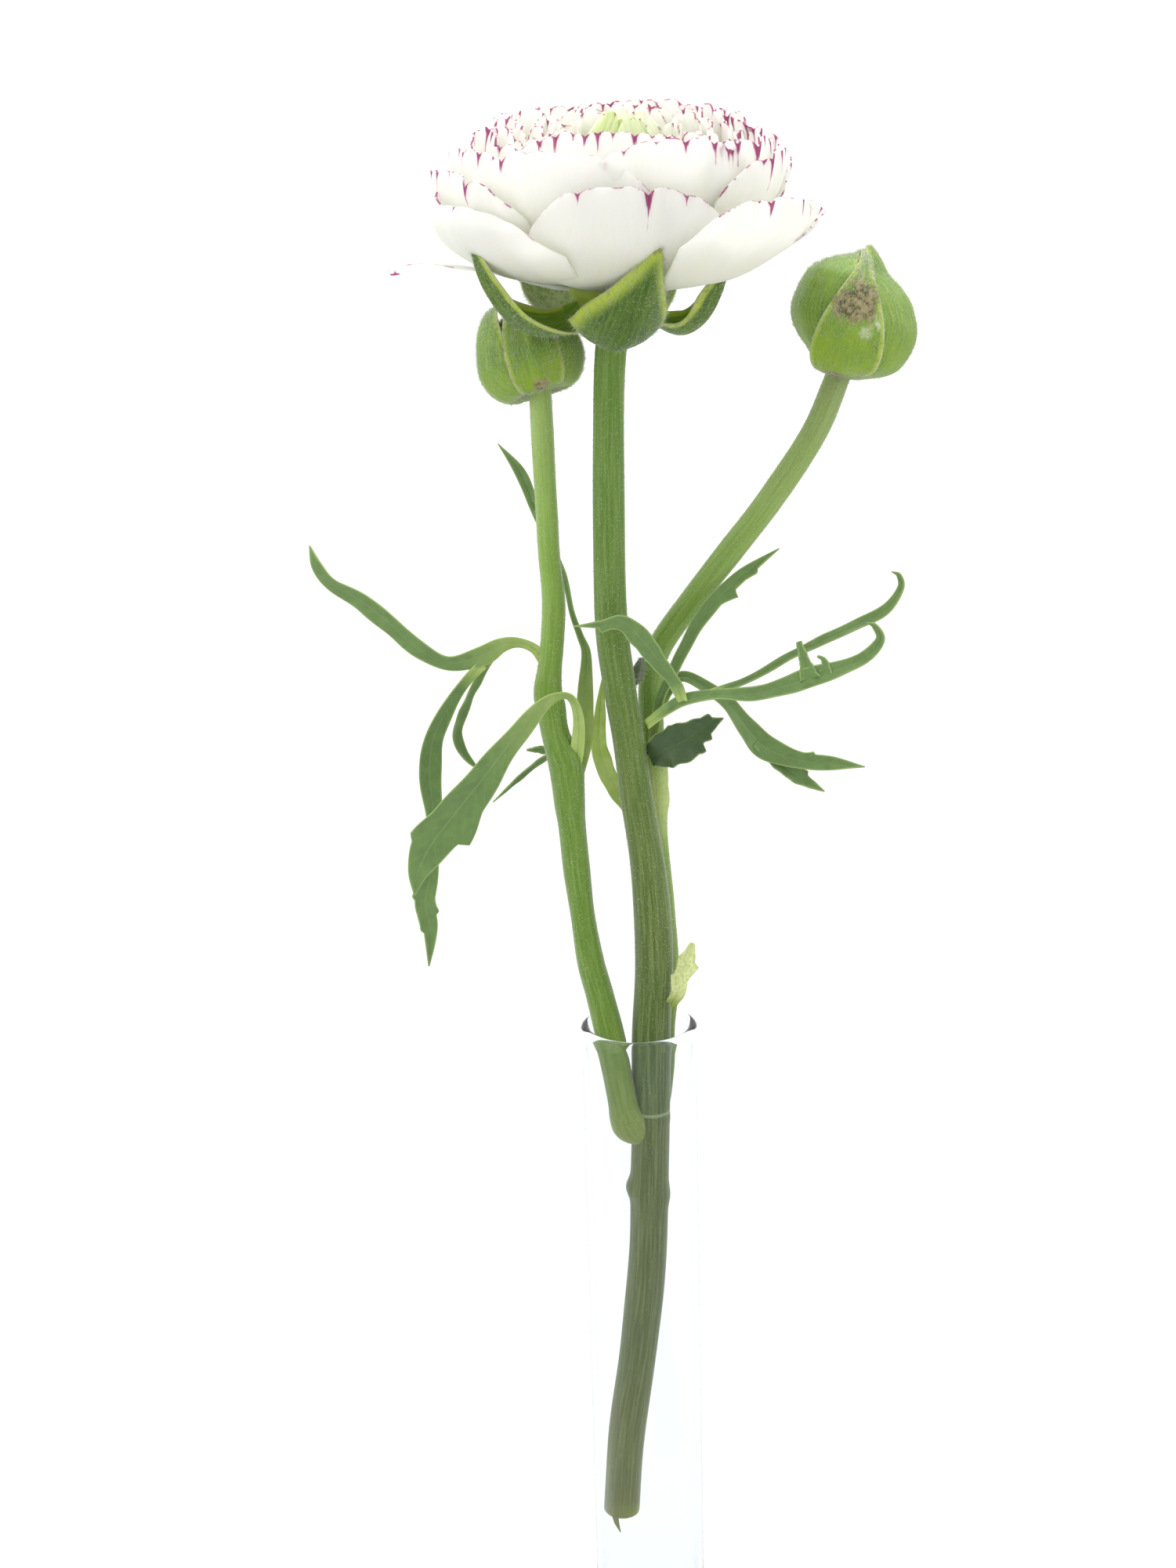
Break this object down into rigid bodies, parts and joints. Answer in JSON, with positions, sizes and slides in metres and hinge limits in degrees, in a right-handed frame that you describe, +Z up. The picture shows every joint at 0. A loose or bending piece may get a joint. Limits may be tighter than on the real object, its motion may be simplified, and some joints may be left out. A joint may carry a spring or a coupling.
{
  "type": "ranunculus flower in a glass tube vase",
  "caption": "Cut ranunculus stem with one full white flower, two closed buds and divided leaves, standing in a slim round glass tube vase.",
  "frame": {"origin": "centre of the vase's flat base", "axes": "+Z up along the vase; the flower faces up and a little towards -Y; +X towards the stem whose bud stands well clear"},
  "size_m": [0.1019, 0.058, 0.2725],
  "materials": {
    "clear_glass": "clear, glossy, very pale green edges",
    "stem_green": "green plant stem, satin, short white hairs",
    "petal_white": "thin white petal with a purple edge, soft satin",
    "pistil_green": "pale green folded centre, soft satin",
    "sepal_green": "green sepal, satin, fine white hairs",
    "leaf_green": "dark green leaf, satin",
    "bract_green": "thin yellow-green bract, translucent",
    "wool_green": "grey-green young bud under white wool"
  },
  "bodies": {
    "root": {"drooping_petal": "petal_white", "flower_sepal_back_left": "sepal_green", "flower_sepal_back_right": "sepal_green", "flower_sepal_front": "sepal_green", "flower_sepal_left": "sepal_green", "flower_sepal_right": "sepal_green", "inner_leaf": "leaf_green", "inner_petal_1": "petal_white", "inner_petal_2": "petal_white", "inner_petal_3": "petal_white", "inner_petal_4": "petal_white", "inner_petal_5": "petal_white", "inner_petal_6": "petal_white", "left_bud_petals": "petal_white", "left_bud_sepal_1": "sepal_green", "left_bud_sepal_2": "sepal_green", "left_bud_sepal_3": "sepal_green", "left_bud_sepal_4": "sepal_green", "left_bud_sepal_5": "sepal_green", "left_forked_leaf": "leaf_green", "left_front_leaf": "leaf_green", "left_low_leaf": "leaf_green", "left_rising_leaf": "leaf_green", "left_stem": "stem_green", "main_stem": "stem_green", "middle_petal_1": "petal_white", "middle_petal_2": "petal_white", "middle_petal_3": "petal_white", "middle_petal_4": "petal_white", "middle_petal_5": "petal_white", "middle_petal_6": "petal_white", "middle_petal_7": "petal_white", "middle_petal_8": "petal_white", "outer_petal_1": "petal_white", "outer_petal_2": "petal_white", "outer_petal_3": "petal_white", "outer_petal_4": "petal_white", "outer_petal_5": "petal_white", "outer_petal_6": "petal_white", "outer_petal_7": "petal_white", "outer_petal_8": "petal_white", "petal_heart": "petal_white", "pistil_centre": "pistil_green", "receptacle": "sepal_green", "right_back_leaf": "leaf_green", "right_bud_petals": "petal_white", "right_bud_sepal_1": "sepal_green", "right_bud_sepal_2": "sepal_green", "right_bud_sepal_3": "sepal_green", "right_bud_sepal_4": "sepal_green", "right_bud_sepal_5": "sepal_green", "right_dark_leaf": "leaf_green", "right_forked_leaf": "leaf_green", "right_stem": "stem_green", "right_upper_leaf": "leaf_green", "stem_bract": "bract_green", "vase": "clear_glass", "young_bud": "wool_green"}
  },
  "joints": []
}
